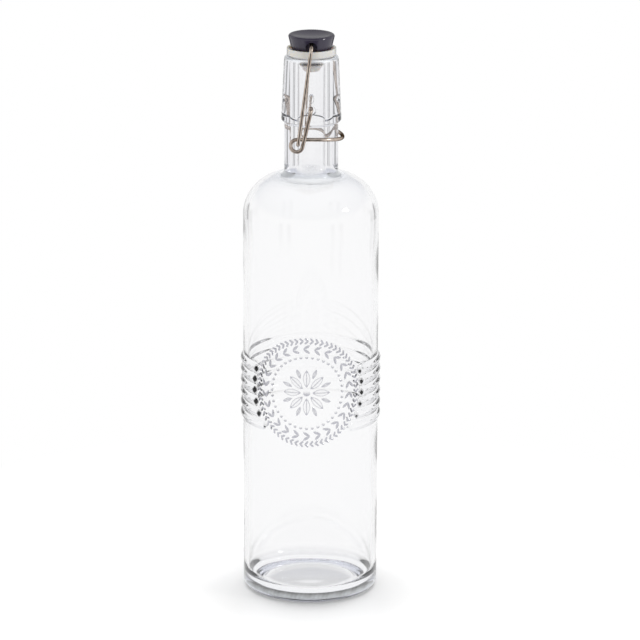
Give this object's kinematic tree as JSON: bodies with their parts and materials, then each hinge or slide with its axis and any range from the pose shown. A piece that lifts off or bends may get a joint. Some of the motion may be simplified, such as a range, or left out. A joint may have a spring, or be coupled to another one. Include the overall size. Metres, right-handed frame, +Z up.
{
  "type": "swing top bottle",
  "caption": "Round clear glass bottle with ribbed sides and a lever-and-bail swing top stopper that seals the narrow neck.",
  "frame": {"origin": "centre of the base, on the plane that the bottle stands on", "axes": "+Z up along the bottle; +X towards the lever's handle; the closure's pivots lie along Y; the round field is at -Y"},
  "size_m": [0.083, 0.0815, 0.3377],
  "materials": {
    "clear_glass": "clear polished flint glass",
    "wire": "drawn and bent wire, satin, slightly warm",
    "black_plastic": "moulded, glossy",
    "gasket_rubber": "translucent cream, soft satin",
    "pale_plastic": "moulded, pale cream"
  },
  "bodies": {
    "bottle": {"bottle": "clear_glass"},
    "lever": {"lever_wire": "wire"},
    "bail": {"bail_wire": "wire"},
    "stopper": {"stopper_cap": "black_plastic", "gasket": "gasket_rubber", "retainer": "pale_plastic"}
  },
  "joints": [
    {"name": "lever_swing", "type": "hinge", "parent": "bottle", "child": "lever", "pos_m": [0, 0, 0.29695], "axis": [0, -1, 0], "range_deg": [0, 90], "deforming": ["gasket"]},
    {"name": "bail_swing", "type": "hinge", "parent": "lever", "child": "bail", "pos_m": [-0.00765, 0, 0.27626], "axis": [0, -1, 0], "range_deg": [-58, 0]},
    {"name": "stopper_tilt", "type": "hinge", "parent": "bail", "child": "stopper", "pos_m": [0, 0, 0.33385], "axis": [0, -1, 0], "range_deg": [-33, 0]}
  ],
  "couplings": [
    {"joint": "bail_swing", "follows": "lever_swing", "ratio": -0.642},
    {"joint": "stopper_tilt", "follows": "lever_swing", "ratio": -0.358}
  ]
}
